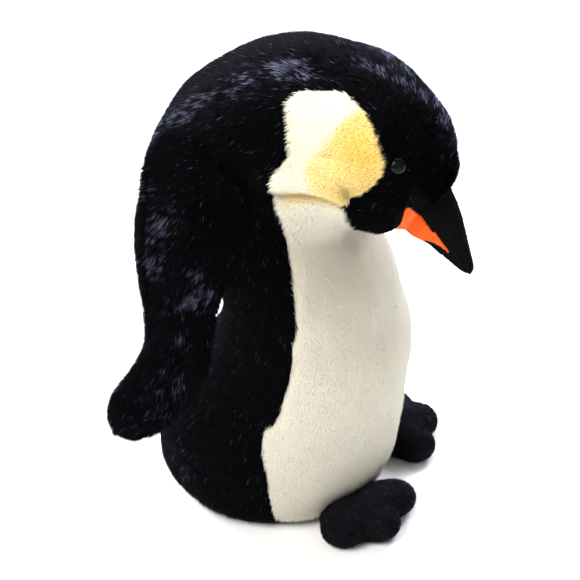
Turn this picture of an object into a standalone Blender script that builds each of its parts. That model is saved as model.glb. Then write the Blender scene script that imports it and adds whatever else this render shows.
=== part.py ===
"""Plush penguin, about 0.40 m tall, sitting upright on a pellet-filled base with its head bowed.

Metres, +Z up. The penguin faces -Y, its own right side is at -X, and the origin is the middle of
the flat base panel, on the surface that it stands on. Every fabric panel is a separate thin shell
with a seam gap to its neighbours, and the stuffing inside is made of separate closed solids.
"""

import math

import bmesh
import bpy
import numpy as np
from mathutils import Matrix, Vector

# ---------------------------------------------------------------- driving dimensions
SKIN = 0.0030          # thickness of a plush panel with its backing
SEAM = 0.0012          # gap between neighbouring panels, where the seam allowance is turned in
FILL_GAP = 0.0080      # from the outer skin to the stuffing inside it, measured in a section
HEAD_FILL_GAP = 0.0095  # the same in the head, where the sections are tilted more
BASE_THICKNESS = 0.0040
BASE_SCALE = 0.985     # the base panel against the body's lowest section

# The body and head are one lofted form. Each row is a section: where it meets the back line and
# the front line in the middle plane (y, z each), and its half width along X.
SECTIONS = (
    (0.084, 0.0048, -0.076, 0.0048, 0.087),
    (0.094, 0.012, -0.085, 0.012, 0.096),
    (0.103, 0.032, -0.092, 0.030, 0.102),
    (0.100, 0.064, -0.097, 0.060, 0.103),
    (0.080, 0.102, -0.100, 0.098, 0.100),
    (0.051, 0.145, -0.101, 0.134, 0.096),
    (0.046, 0.190, -0.096, 0.166, 0.093),
    (0.066, 0.240, -0.085, 0.198, 0.092),
    (0.090, 0.290, -0.070, 0.221, 0.090),
    (0.080, 0.337, -0.058, 0.235, 0.084),
    (0.045, 0.370, -0.057, 0.242, 0.078),
    (0.004, 0.387, -0.062, 0.246, 0.072),
    (-0.042, 0.389, -0.070, 0.246, 0.067),
    (-0.081, 0.378, -0.078, 0.244, 0.062),
    (-0.109, 0.355, -0.085, 0.243, 0.055),
    (-0.129, 0.327, -0.090, 0.244, 0.046),
    (-0.135, 0.301, -0.095, 0.248, 0.033),
    (-0.135, 0.286, -0.098, 0.253, 0.020),
)
PELLET_ROW = 3.1       # section at which the pellet bag ends and the body stuffing begins
NECK_ROW = 10.0        # section at which the head joins the torso
HEAD_END = 17.0        # section at which the head panels end at the beak seam
HEAD_FILL_END = 15.0   # section at which the head's stuffing ends
NECK_OPENING = math.radians(5.5)   # half of the wedge left open at the neck, for nodding
NECK_SPLIT = 0.0009    # half of the gap at the nod axis itself
NECK_BALL = 0.064      # radius of the rounded neck plug on top of the body stuffing
NECK_CLEARANCE = 0.0016

# Angles round a section are measured from the front line, so 180 degrees is the back line.
# Half of the pale belly panel: section, degrees.
BELLY_EDGE = ((0.0, 74), (2.0, 77), (3.0, 81), (4.0, 88), (5.0, 88), (6.0, 85), (7.0, 73),
              (8.0, 63), (9.0, 62), (10.0, 80), (11.0, 80))
CROWN_ANGLE = math.radians(150)    # the crown gusset covers the rest of the way to 180
THROAT_ANGLE = math.radians(24)    # half of the throat gusset
CHEEK_ROWS = (11.15, 13.45)        # cheek patch, along the sections
CHEEK_ANGLES = (math.radians(68), math.radians(138))
PATCH_SEAM = 0.0036                # the patch is inset this much more in all, across its angles
PATCH_ROW_GAP = 0.09               # and this much of a section at its two ends

BEAK_SECTIONS = (
    (-0.1358, 0.2838, -0.0988, 0.2512, 0.0185),
    (-0.1415, 0.2650, -0.1060, 0.2425, 0.0165),
    (-0.1460, 0.2460, -0.1165, 0.2330, 0.0135),
    (-0.1505, 0.2285, -0.1290, 0.2215, 0.0100),
    (-0.1540, 0.2165, -0.1400, 0.2125, 0.0070),
    (-0.1540, 0.2090, -0.1470, 0.2075, 0.0040),
)
STRIPE_END = 3.2       # beak section at which the orange stripe runs to a point
STRIPE_CUT = 0.35      # how much of a section the stripe stops short of that point
STRIPE_ANGLES = (math.radians(12), math.radians(66))
BEAK_SKIN = 0.0012     # thickness of the beak's velour and felt
BEAK_FILL_GAP = 0.0032

EYE_ROW = 13.98
EYE_ANGLE = math.radians(112)
EYE_RADIUS = 0.0062
EYE_DOME = 0.0036
EYE_STEM_LENGTH = 0.0042   # below the cloth
EYE_STEM = 0.0021
WASHER_RADIUS = 0.0068
WASHER_BORE = 0.0026
WASHER_THICKNESS = 0.0015
WASHER_DROP = 0.0010       # from the cloth to the washer
POCKET_MARGIN = 0.0015     # room in the stuffing round a washer

FLIPPER_ORIGIN = Vector((0.1000, 0.050, 0.266))    # the left one; the right one is its mirror image
FLIPPER_OUT = Vector((0.42, 0.9075, 0.0))           # across the blade, away from the body
FLIPPER_LEAN = 0.10                                 # how far the blade runs outward per metre down
# Each row is a section of the blade: how far out and how far down its middle lies, the direction
# the blade runs in there (degrees from straight down), its half width and its half thickness.
FLIPPER_SECTIONS = (
    (0.003, -0.062, -8, 0.007, 0.005),
    (0.005, -0.055, -8, 0.018, 0.008),
    (0.007, -0.040, -5, 0.026, 0.011),
    (0.008, -0.010, 0, 0.029, 0.012),
    (0.007, 0.030, 0, 0.028, 0.012),
    (0.007, 0.068, 3, 0.027, 0.011),
    (0.011, 0.102, 20, 0.028, 0.011),
    (0.026, 0.128, 38, 0.028, 0.010),
    (0.042, 0.145, 45, 0.025, 0.009),
    (0.053, 0.154, 48, 0.015, 0.007),
    (0.057, 0.158, 48, 0.007, 0.005),
)
FLIPPER_SKIN = 0.0020
FLIPPER_SEAM = 0.0034               # gap between the two skins of a blade, at its edges
FLIPPER_FILL_GAP = 0.0050
FLIPPER_HINGE = (-0.024, -0.010)   # out and down, on the seam where the blade meets the body

FOOT_CENTRE = (0.057, -0.072)
FOOT_TURN = math.radians(32)       # toes turned outward
FOOT_TOES = ((-60, 0.047), (4, 0.048), (56, 0.047))   # degrees from the foot's own forward, reach
FOOT_HEEL = 0.034
TOE_WIDTH = math.radians(25)
FOOT_HEIGHT = 0.030
FOOT_SKIN = 0.0025
FOOT_FILL_GAP = 0.0065
SOLE_THICKNESS = 0.0030
ANKLE_CLEARANCE = 0.0032
ANKLE = (0.057, -0.080, 0.033)     # middle of the seam between the left foot and the body

NAVY = (0.010, 0.011, 0.022, 1.0)
IVORY = (0.86, 0.82, 0.70, 1.0)
GOLD = (0.85, 0.58, 0.20, 1.0)
ORANGE = (0.85, 0.14, 0.02, 1.0)
BLACK = (0.008, 0.008, 0.010, 1.0)
FIBRE = (0.85, 0.85, 0.83, 1.0)
PELLETS = (0.75, 0.76, 0.78, 1.0)

SIDES = (("right", -1), ("left", 1))
MERGE = 0.00005


# ---------------------------------------------------------------- scene and materials
def empty_scene():
    for old in list(bpy.data.objects):
        bpy.data.objects.remove(old, do_unlink=True)


def new_collection(name):
    made = bpy.data.collections.new(name)
    bpy.context.scene.collection.children.link(made)
    return made


def new_material(name, colour, roughness):
    material = bpy.data.materials.new(name)
    material.use_nodes = True
    material.diffuse_color = colour
    shader = material.node_tree.nodes["Principled BSDF"]
    shader.inputs["Base Color"].default_value = colour
    shader.inputs["Roughness"].default_value = roughness
    shader.inputs["Metallic"].default_value = 0.0
    return material


def new_object(name, mesh, collection, colour, roughness=0.9):
    mesh.materials.append(new_material(name, colour, roughness))
    mesh.shade_smooth()
    made = bpy.data.objects.new(name, mesh)
    collection.objects.link(made)
    return made


def mesh_from(points, faces, name):
    """A mesh from points and faces, with doubled points merged."""
    mesh = bpy.data.meshes.new(name)
    mesh.from_pydata([tuple(point) for point in points], [], faces)
    build = bmesh.new()
    build.from_mesh(mesh)
    bmesh.ops.remove_doubles(build, verts=build.verts, dist=MERGE)
    bmesh.ops.dissolve_degenerate(build, edges=build.edges, dist=MERGE / 10)
    build.to_mesh(mesh)
    build.free()
    return mesh


# ---------------------------------------------------------------- lofted forms
def smooth_row(rows, place):
    """The row at a fractional place in a table, on a Catmull-Rom curve through its rows."""
    rows = np.asarray(rows, dtype=float)
    last = len(rows) - 1
    place = min(max(place, 0.0), last)
    index = min(int(place), last - 1)
    t = place - index
    before = rows[index - 1] if index > 0 else 2 * rows[0] - rows[1]
    after = rows[index + 2] if index + 2 <= last else 2 * rows[last] - rows[last - 1]
    here, there = rows[index], rows[index + 1]
    return 0.5 * (2 * here + (there - before) * t
                  + (2 * before - 5 * here + 4 * there - after) * t ** 2
                  + (3 * here - before - 3 * there + after) * t ** 3)


def section_point(rows, place, angle, inset=0.0):
    """A point on a section: angle 0 on the front line, 180 degrees on the back, +X at 90."""
    back_y, back_z, front_y, front_z, half_width = smooth_row(rows, place)
    front = Vector((0.0, front_y, front_z))
    back = Vector((0.0, back_y, back_z))
    middle = (front + back) / 2
    half = (back - front) / 2
    shrink = max(1.0 - inset / half.length, 0.02)
    return (middle - half * shrink * math.cos(angle)
            + Vector((max(half_width - inset, 0.0005) * math.sin(angle), 0.0, 0.0)))


def body_point(place, angle, inset=0.0):
    return section_point(SECTIONS, place, angle, inset)


def beak_point(place, angle, inset=0.0):
    return section_point(BEAK_SECTIONS, place, angle, inset)


def patch_mesh(name, surface, rows, low_angle, high_angle, columns):
    """An open patch of a lofted surface. The two angles are functions of the row."""
    points = []
    for row in rows:
        low, high = low_angle(row), high_angle(row)
        for column in range(columns + 1):
            points.append(surface(row, low + (high - low) * column / columns))
    faces = []
    for r in range(len(rows) - 1):
        for c in range(columns):
            a = r * (columns + 1) + c
            faces.append((a, a + 1, a + columns + 2, a + columns + 1))
    return mesh_from(points, faces, name)


def add_shell(made, thickness):
    """Thickens an open panel inward. Its faces point outward."""
    shell = made.modifiers.new("panel thickness", 'SOLIDIFY')
    shell.thickness = thickness
    shell.offset = -1.0
    shell.use_even_offset = True
    shell.use_rim = True
    return shell


def cut(made, cutter):
    boolean = made.modifiers.new("cut by " + cutter.name, 'BOOLEAN')
    boolean.operation = 'DIFFERENCE'
    boolean.solver = 'EXACT'
    boolean.object = cutter
    return boolean


def closed_loft(name, surface, rows, columns):
    """A closed solid: rings of a lofted surface, with a fan at each end."""
    points = []
    for row in rows:
        for column in range(columns):
            points.append(surface(row, 2 * math.pi * column / columns))
    faces = []
    for r in range(len(rows) - 1):
        for c in range(columns):
            a, b = r * columns + c, r * columns + (c + 1) % columns
            faces.append((a, b, b + columns, a + columns))
    for r, order in ((0, -1), (len(rows) - 1, 1)):
        ring = [r * columns + c for c in range(columns)]
        points.append(sum((points[i] for i in ring), Vector()) / columns)
        centre = len(points) - 1
        for c in range(columns):
            a, b = ring[c], ring[(c + 1) % columns]
            faces.append((a, b, centre) if order > 0 else (b, a, centre))
    return mesh_from(points, faces, name)


def spaced(first, last, count):
    return [first + (last - first) * i / count for i in range(count + 1)]


def seam_angle(row, surface, angle, gap=SEAM):
    """Half of the seam gap as an angle, at one place on a lofted surface."""
    step = 0.02
    across = (surface(row, angle + step) - surface(row, angle - step)).length / (2 * step)
    return gap / 2 / max(across, 0.004)


def between(surface, low, high, gap=SEAM):
    """Two angle functions that keep half of the seam gap inside low and high."""
    def low_edge(row):
        angle = low(row)
        return angle + seam_angle(row, surface, angle, gap)

    def high_edge(row):
        angle = high(row)
        return angle - seam_angle(row, surface, angle, gap)
    return low_edge, high_edge


def panel(name, collection, surface, rows, low, high, columns, colour, thickness=SKIN,
          gap=SEAM):
    low_edge, high_edge = between(surface, low, high, gap)
    mesh = patch_mesh(name, surface, rows, low_edge, high_edge, columns)
    made = new_object(name, mesh, collection, colour)
    add_shell(made, thickness)
    return made


# ---------------------------------------------------------------- cutters
def neck_frame():
    """The nod axis point, and the directions to the front and the back line of the neck."""
    front = body_point(NECK_ROW, 0.0)
    back = body_point(NECK_ROW, math.pi)
    pivot = (front + back) / 2
    return pivot, (front - pivot).normalized(), (back - pivot).normalized()


def prism(name, outline, half_width, collection):
    """A prism along X from an outline in the Y-Z plane, used only to cut with."""
    count = len(outline)
    points = [Vector((x, y, z)) for x in (-half_width, half_width) for y, z in outline]
    faces = [tuple(range(count)), tuple(range(2 * count - 1, count - 1, -1))]
    for i in range(count):
        j = (i + 1) % count
        faces.append((j, i, i + count, j + count))
    mesh = bpy.data.meshes.new(name)
    mesh.from_pydata([tuple(p) for p in points], [], faces)
    build = bmesh.new()
    build.from_mesh(mesh)
    bmesh.ops.recalc_face_normals(build, faces=build.faces)
    build.to_mesh(mesh)
    build.free()
    return as_cutter(name, mesh, collection)


def as_cutter(name, mesh, collection):
    made = bpy.data.objects.new(name, mesh)
    collection.objects.link(made)
    made.hide_render = True
    made.display_type = 'WIRE'
    return made


def neck_cutter(name, toward_head, collection):
    """Everything beyond the neck's rim on one side: toward the head, or toward the torso."""
    pivot, to_front, to_back = neck_frame()
    across = Vector((0.0, -to_back.z, to_back.y))       # square to the neck, in the middle plane
    if across.dot(body_point(NECK_ROW + 2, math.pi) - pivot) < 0:
        across = -across
    across = across if toward_head else -across
    # The rim leans away from what is cut, so that a wedge stays open on both sides of the neck.
    lean = -math.tan(NECK_OPENING)
    far = 0.30
    apex = pivot - across * NECK_SPLIT
    front = apex + to_front * far + across * far * lean
    back = apex + to_back * far + across * far * lean
    outline = [apex, front, front + across * far * 2, back + across * far * 2, back]
    return prism(name, [(p.y, p.z) for p in outline], 0.30, collection)


def sphere_mesh(name, centre, radius, segments, rings):
    mesh = bpy.data.meshes.new(name)
    build = bmesh.new()
    bmesh.ops.create_uvsphere(build, u_segments=segments, v_segments=rings, radius=radius)
    bmesh.ops.rotate(build, verts=build.verts, cent=(0, 0, 0),
                     matrix=Matrix.Rotation(math.pi / 2, 3, 'Y'))
    bmesh.ops.translate(build, verts=build.verts, vec=centre)
    build.to_mesh(mesh)
    build.free()
    return mesh


# ---------------------------------------------------------------- torso
def make_torso(parts, cutters):
    head_side = neck_cutter("neck rim, head side", True, cutters)

    def belly_edge(row):
        return math.radians(float(np.interp(row, *zip(*BELLY_EDGE))))

    rows = spaced(0.0, NECK_ROW + 0.6, 16)
    belly = panel("belly_panel", parts, body_point, rows, lambda row: -belly_edge(row),
                  belly_edge, 15, IVORY)
    cut(belly, head_side)
    right = panel("back_panel_right", parts, body_point, rows, lambda row: -math.pi,
                  lambda row: -belly_edge(row), 9, NAVY)
    cut(right, head_side)
    left = panel("back_panel_left", parts, body_point, rows, belly_edge,
                 lambda row: math.pi, 9, NAVY)
    cut(left, head_side)

    def base_point(place, angle):
        low = section_point([SECTIONS[0]] * 2, 0.0, angle)
        low.x, low.y = low.x * BASE_SCALE, low.y * BASE_SCALE
        low.z = place * BASE_THICKNESS
        return low
    base = closed_loft("base_panel", base_point, (0.0, 1.0), 32)
    new_object("base_panel", base, parts, NAVY)

    def inside(row, angle):
        return body_point(row, angle, FILL_GAP)
    bag_rows = spaced(0.35, PELLET_ROW - 0.06, 5)
    bag = closed_loft("pellet_bag", inside, bag_rows, 24)
    new_object("pellet_bag", bag, parts, PELLETS, 0.6)

    stuffing = new_object("body_stuffing", closed_loft("body_stuffing", inside,
                          spaced(PELLET_ROW + 0.06, NECK_ROW + 0.3, 13), 24), parts, FIBRE)
    cut(stuffing, head_side)
    pivot = neck_frame()[0]
    plug = as_cutter("neck plug", sphere_mesh("neck plug", pivot, NECK_BALL, 24, 14), cutters)
    union = stuffing.modifiers.new("rounded neck plug", 'BOOLEAN')
    union.operation = 'UNION'
    union.object = plug


# ---------------------------------------------------------------- head
def make_head(parts, cutters):
    torso_side = neck_cutter("neck rim, torso side", False, cutters)
    rows = spaced(NECK_ROW - 0.6, HEAD_END, 14)
    crown = panel("crown_gusset", parts, body_point, rows, lambda row: CROWN_ANGLE,
                  lambda row: 2 * math.pi - CROWN_ANGLE, 6, NAVY)
    cut(crown, torso_side)
    throat = panel("throat_gusset", parts, body_point, rows, lambda row: -THROAT_ANGLE,
                   lambda row: THROAT_ANGLE, 5, NAVY)
    cut(throat, torso_side)
    socket = as_cutter("eye pocket", bpy.data.meshes.new("eye pocket"), cutters)
    pockets = bmesh.new()
    for side, sign in SIDES:
        make_head_side(side, sign, parts, cutters, rows, torso_side)
        make_eye(side, sign, parts, pockets)
    pockets.to_mesh(socket.data)
    pockets.free()

    def inside(row, angle):
        return body_point(row, angle, HEAD_FILL_GAP)
    stuffing = new_object("head_stuffing", closed_loft("head_stuffing", inside,
                          spaced(NECK_ROW + 0.2, HEAD_FILL_END, 9), 22), parts, FIBRE)
    cut(stuffing, torso_side)
    pivot = neck_frame()[0]
    hollow = as_cutter("neck hollow", sphere_mesh("neck hollow", pivot,
                       NECK_BALL + NECK_CLEARANCE, 24, 14), cutters)
    cut(stuffing, hollow)
    cut(stuffing, socket)


def make_head_side(side, sign, parts, cutters, rows, torso_side):
    """The dark side of the head, with an opening that the pale cheek patch fills."""
    low_row, high_row = CHEEK_ROWS
    low_angle, high_angle = CHEEK_ANGLES
    grid_rows = sorted(set(spaced(rows[0], low_row, 3) + spaced(low_row, high_row, 6)
                           + spaced(high_row, HEAD_END, 6)))
    angles = sorted(set([round(a, 6) for a in
                         spaced(THROAT_ANGLE, low_angle, 2) + spaced(low_angle, high_angle, 7)
                         + spaced(high_angle, CROWN_ANGLE, 2)]))
    points = []
    for row in grid_rows:
        for angle in angles:
            if angle == angles[0]:
                angle += seam_angle(row, body_point, angle)
            elif angle == angles[-1]:
                angle -= seam_angle(row, body_point, angle)
            points.append(body_point(row, sign * angle))
    faces = []
    count = len(angles)
    for r in range(len(grid_rows) - 1):
        for c in range(count - 1):
            row_middle = (grid_rows[r] + grid_rows[r + 1]) / 2
            angle_middle = (angles[c] + angles[c + 1]) / 2
            in_patch = low_row < row_middle < high_row and low_angle < angle_middle < high_angle
            if in_patch:
                continue
            a = r * count + c
            face = (a, a + 1, a + count + 1, a + count)
            faces.append(face if sign > 0 else face[::-1])
    name = "head_side_" + side
    made = new_object(name, mesh_from(points, faces, name), parts, NAVY)
    add_shell(made, SKIN)
    cut(made, torso_side)
    hole = as_cutter("eye hole " + side, bpy.data.meshes.new("eye hole"), cutters)
    place, outward = eye_frame(sign)
    drill = bmesh.new()
    bmesh.ops.create_cone(drill, cap_ends=True, segments=16, radius1=EYE_STEM + 0.0006,
                          radius2=EYE_STEM + 0.0006, depth=0.03)
    bmesh.ops.transform(drill, verts=drill.verts, matrix=eye_matrix(place, outward))
    drill.to_mesh(hole.data)
    drill.free()
    cut(made, hole)

    patch_rows = spaced(low_row + PATCH_ROW_GAP, high_row - PATCH_ROW_GAP, 6)
    angle_low, angle_high = sorted((sign * low_angle, sign * high_angle))
    panel("cheek_patch_" + side, parts, body_point, patch_rows, lambda row: angle_low,
          lambda row: angle_high, 8, GOLD, gap=PATCH_SEAM)


def eye_frame(sign):
    """Where an eye sits on the head, and the outward direction there."""
    step = 0.01
    angle = sign * EYE_ANGLE
    place = body_point(EYE_ROW, angle)
    along = body_point(EYE_ROW + step, angle) - body_point(EYE_ROW - step, angle)
    round_section = body_point(EYE_ROW, angle + step) - body_point(EYE_ROW, angle - step)
    outward = round_section.cross(along).normalized()
    if outward.x * sign < 0:
        outward = -outward
    return place, outward


def eye_matrix(place, outward):
    turn = outward.to_track_quat('Z', 'Y').to_matrix().to_4x4()
    return Matrix.Translation(place) @ turn


def turned(name, profile, parts, colour, roughness, segments=20):
    """A turned solid about +Z, from a profile that runs down its outer side."""
    mesh = bpy.data.meshes.new(name)
    closed = profile[0][0] > 0.0
    edges = [(i, i + 1) for i in range(len(profile) - 1)]
    if closed:
        edges.append((len(profile) - 1, 0))
    mesh.from_pydata([(r, 0.0, z) for r, z in profile], edges, [])
    made = new_object(name, mesh, parts, colour, roughness)
    screw = made.modifiers.new("turned", 'SCREW')
    screw.steps = segments
    screw.render_steps = segments
    screw.use_merge_vertices = True
    screw.merge_threshold = MERGE
    return made


def make_eye(side, sign, parts, pockets):
    """A plastic safety eye: a dome with a stem through the cloth, held by a washer inside."""
    place, outward = eye_frame(sign)
    lift = 0.0009          # the dome's rim stays clear of the curved cloth
    steps = 5
    dome = [(EYE_RADIUS * math.sin(a), lift + EYE_DOME * math.cos(a))
            for a in spaced(0.0, math.pi / 2, steps)]
    tip = -(SKIN + EYE_STEM_LENGTH)
    profile = dome + [(EYE_STEM, lift), (EYE_STEM, tip), (0.0, tip)]
    eye = turned("eye_" + side, profile, parts, BLACK, 0.08)
    eye.matrix_world = eye_matrix(place, outward)
    top = -(SKIN + WASHER_DROP)
    ring = [(WASHER_RADIUS, top), (WASHER_RADIUS, top - WASHER_THICKNESS),
            (WASHER_BORE, top - WASHER_THICKNESS), (WASHER_BORE, top)]
    washer = turned("eye_washer_" + side, ring, parts, FIBRE, 0.4)
    washer.matrix_world = eye_matrix(place, outward)
    depth = 0.012
    middle = Matrix.Translation((0, 0, -SKIN - depth / 2 + 0.006))
    made = bmesh.ops.create_cone(pockets, cap_ends=True, segments=16,
                                 radius1=WASHER_RADIUS + POCKET_MARGIN,
                                 radius2=WASHER_RADIUS + POCKET_MARGIN, depth=depth)
    bmesh.ops.transform(pockets, verts=made["verts"],
                        matrix=eye_matrix(place, outward) @ middle)


# ---------------------------------------------------------------- beak
def make_beak(parts):
    last = len(BEAK_SECTIONS) - 1.0
    low, high = STRIPE_ANGLES

    def stripe_low(row):
        """The lower edge of the orange stripe, which rises to meet the upper one at its point."""
        return low + (high - low) * min(row / STRIPE_END, 1.0) ** 2

    rows = spaced(0.0, last, 10)
    panel("beak_upper", parts, beak_point, rows, lambda row: high,
          lambda row: 2 * math.pi - high, 12, BLACK, BEAK_SKIN)
    panel("beak_lower", parts, beak_point, rows, lambda row: -stripe_low(row),
          stripe_low, 8, BLACK, BEAK_SKIN)
    stripe_rows = spaced(0.0, STRIPE_END - STRIPE_CUT, 7)
    for side, sign in SIDES:
        ends = (stripe_low, lambda row: high)
        if sign < 0:
            ends = (lambda row: -high, lambda row: -stripe_low(row))
        panel("beak_stripe_" + side, parts, beak_point, stripe_rows, ends[0], ends[1], 4,
              ORANGE, BEAK_SKIN)
    filling = closed_loft("beak_stuffing", lambda row, angle: beak_point(row, angle, BEAK_FILL_GAP),
                          spaced(0.15, 3.6, 6), 14)
    new_object("beak_stuffing", filling, parts, FIBRE)


# ---------------------------------------------------------------- flippers
def flipper_axes():
    """The left blade's directions: across it, square to its outer face, and down it."""
    across = FLIPPER_OUT.normalized()
    face = Vector((across.y, -across.x, 0.0))
    return across, face, (Vector((0.0, 0.0, -1.0)) + face * FLIPPER_LEAN).normalized()


def flipper_point(sign, place, angle, inset=0.0):
    """A point on the blade: angle 0 on the outer face, 90 degrees on its far edge."""
    out, down, run, half_width, half_thick = smooth_row(FLIPPER_SECTIONS, place)
    across, face, down_way = flipper_axes()
    middle = FLIPPER_ORIGIN + across * out + down_way * down
    run = math.radians(run)
    wide = across * math.cos(run) - down_way * math.sin(run)
    point = (middle + wide * max(half_width - inset, 0.0005) * math.sin(angle)
             + face * max(half_thick - inset, 0.0004) * math.cos(angle))
    return Vector((point.x * sign, point.y, point.z))


def flipper_hinge(sign):
    across, _, down_way = flipper_axes()
    out, down = FLIPPER_HINGE
    place = FLIPPER_ORIGIN + across * out + down_way * down
    return Vector((place.x * sign, place.y, place.z))


def make_flipper(side, sign, parts):
    hinge = bpy.data.objects.new("flipper_hinge_" + side, None)
    hinge.location = flipper_hinge(sign)
    parts.objects.link(hinge)
    last = len(FLIPPER_SECTIONS) - 1.0
    rows = spaced(0.0, last, 13)
    quarter = math.pi / 2

    def surface(row, angle):
        return flipper_point(sign, row, angle)
    faces = (("flipper_outer_", -quarter, quarter), ("flipper_inner_", quarter, 3 * quarter))
    for name, low, high in faces:
        mesh = patch_mesh(name + side, surface, rows, *between(
            surface, lambda row, a=low: a, lambda row, a=high: a, FLIPPER_SEAM), 6)
        if sign > 0:
            mesh.flip_normals()
        made = new_object(name + side, mesh, parts, NAVY)
        add_shell(made, FLIPPER_SKIN)
        hang_on(made, hinge)

    def inside(row, angle):
        return flipper_point(sign, row, -sign * angle, FLIPPER_FILL_GAP)
    wadding = new_object("flipper_wadding_" + side, closed_loft(
        "flipper_wadding", inside, spaced(1.5, last - 1.9, 7), 12), parts, FIBRE)
    hang_on(wadding, hinge)


def hang_on(made, empty):
    """Parents an object to an empty and keeps it where it is."""
    made.parent = empty
    made.matrix_parent_inverse = Matrix.Translation(-empty.location)


# ---------------------------------------------------------------- feet
def foot_reach(angle):
    """How far the foot's outline reaches from its centre, with a lobe for each toe."""
    reach = FOOT_HEEL
    for toe_degrees, length in FOOT_TOES:
        away = abs((angle - math.radians(toe_degrees) + math.pi) % (2 * math.pi) - math.pi)
        lobe = FOOT_HEEL + (length - FOOT_HEEL) * math.exp(-(away / TOE_WIDTH) ** 2 * 1.1)
        reach = max(reach, lobe)
    return reach


def foot_point(sign, ring, angle, inset=0.0):
    """A point on the foot's upper: ring 0 at its top, 1 at the ground; angle from its forward."""
    reach = foot_reach(angle) - inset
    out = math.sin(ring * math.pi / 2) ** 0.85
    up = (FOOT_HEIGHT - inset) * math.cos(ring * math.pi / 2) ** 0.75
    turn = angle + FOOT_TURN
    x = FOOT_CENTRE[0] + reach * out * math.sin(turn)
    y = FOOT_CENTRE[1] - reach * out * math.cos(turn)
    return Vector((x * sign, y, SOLE_THICKNESS + 0.0006 + up))


def body_room(cutters):
    """The torso's outer form, a little larger, which the feet are cut back from."""
    def larger(row, angle):
        place = body_point(max(row, 0.0), angle, -ANKLE_CLEARANCE)
        if row < 0.0:
            place.z = -BASE_THICKNESS
        return place
    return as_cutter("room for the torso", closed_loft("room for the torso", larger,
                     [-1.0] + spaced(0.0, 6.0, 12), 40), cutters)


def make_foot(side, sign, parts, room):
    hinge = bpy.data.objects.new("ankle_hinge_" + side, None)
    hinge.location = Vector((ANKLE[0] * sign, ANKLE[1], ANKLE[2]))
    parts.objects.link(hinge)
    columns = 36
    rings = spaced(0.0, 1.0, 6)

    def upper(ring, angle):
        return foot_point(sign, ring, angle)
    mesh = patch_mesh("foot_top_" + side, upper, rings[1:], lambda row: 0.0,
                      lambda row: 2 * math.pi, columns)
    close_top(mesh, upper(0.0, 0.0))
    orient(mesh)
    top = new_object("foot_top_" + side, mesh, parts, NAVY)
    add_shell(top, FOOT_SKIN).use_even_offset = False
    cut(top, room)
    hang_on(top, hinge)

    def sole_point(place, angle):
        edge = foot_point(sign, 1.0, angle)
        edge.z = place * SOLE_THICKNESS
        return edge
    sole_mesh = closed_loft("foot_sole_" + side, sole_point, (0.0, 1.0), columns)
    orient(sole_mesh)
    sole = new_object("foot_sole_" + side, sole_mesh, parts, NAVY)
    cut(sole, room)
    hang_on(sole, hinge)

    def filling_point(ring, angle):
        low = foot_point(sign, ring, angle, FOOT_FILL_GAP)
        low.z += 0.0004
        return low
    filling = closed_loft("foot_stuffing_" + side, filling_point, rings[1:], 24)
    orient(filling)
    made = new_object("foot_stuffing_" + side, filling, parts, FIBRE)
    cut(made, room)
    hang_on(made, hinge)


def close_top(mesh, peak):
    """Closes the small round opening at the middle of a foot's upper."""
    build = bmesh.new()
    build.from_mesh(mesh)
    rims = [edge for edge in build.edges if edge.is_boundary
            and all(vert.co.z > peak.z - FOOT_HEIGHT * 0.5 for vert in edge.verts)]
    bmesh.ops.holes_fill(build, edges=rims)
    bmesh.ops.triangulate(build, faces=[face for face in build.faces if len(face.verts) > 4])
    build.to_mesh(mesh)
    build.free()


def orient(mesh):
    """Turns every face outward, whichever side the piece is on."""
    build = bmesh.new()
    build.from_mesh(mesh)
    bmesh.ops.recalc_face_normals(build, faces=build.faces)
    top = max(build.faces, key=lambda face: face.calc_center_median().z)
    if top.normal.z < 0:
        bmesh.ops.reverse_faces(build, faces=build.faces)
    build.to_mesh(mesh)
    build.free()


def main():
    empty_scene()
    parts = new_collection("plush penguin")
    cutters = new_collection("cutters")
    make_torso(parts, cutters)
    make_head(parts, cutters)
    make_beak(parts)
    room = body_room(cutters)
    for side, sign in SIDES:
        make_flipper(side, sign, parts)
        make_foot(side, sign, parts, room)


main()
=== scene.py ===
"""Plush penguin: the soft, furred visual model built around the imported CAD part.

Metres, +Z up. The penguin faces -Y and its own right side is at -X. The body and the head are one
lofted skin, the same form as the CAD panels, a little inside them, and real strands of pile grow
from it. Each flipper, each foot and the beak has its own skin.
"""

import math
import bmesh
import bpy
import numpy as np
from mathutils import Matrix, Vector


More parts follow.
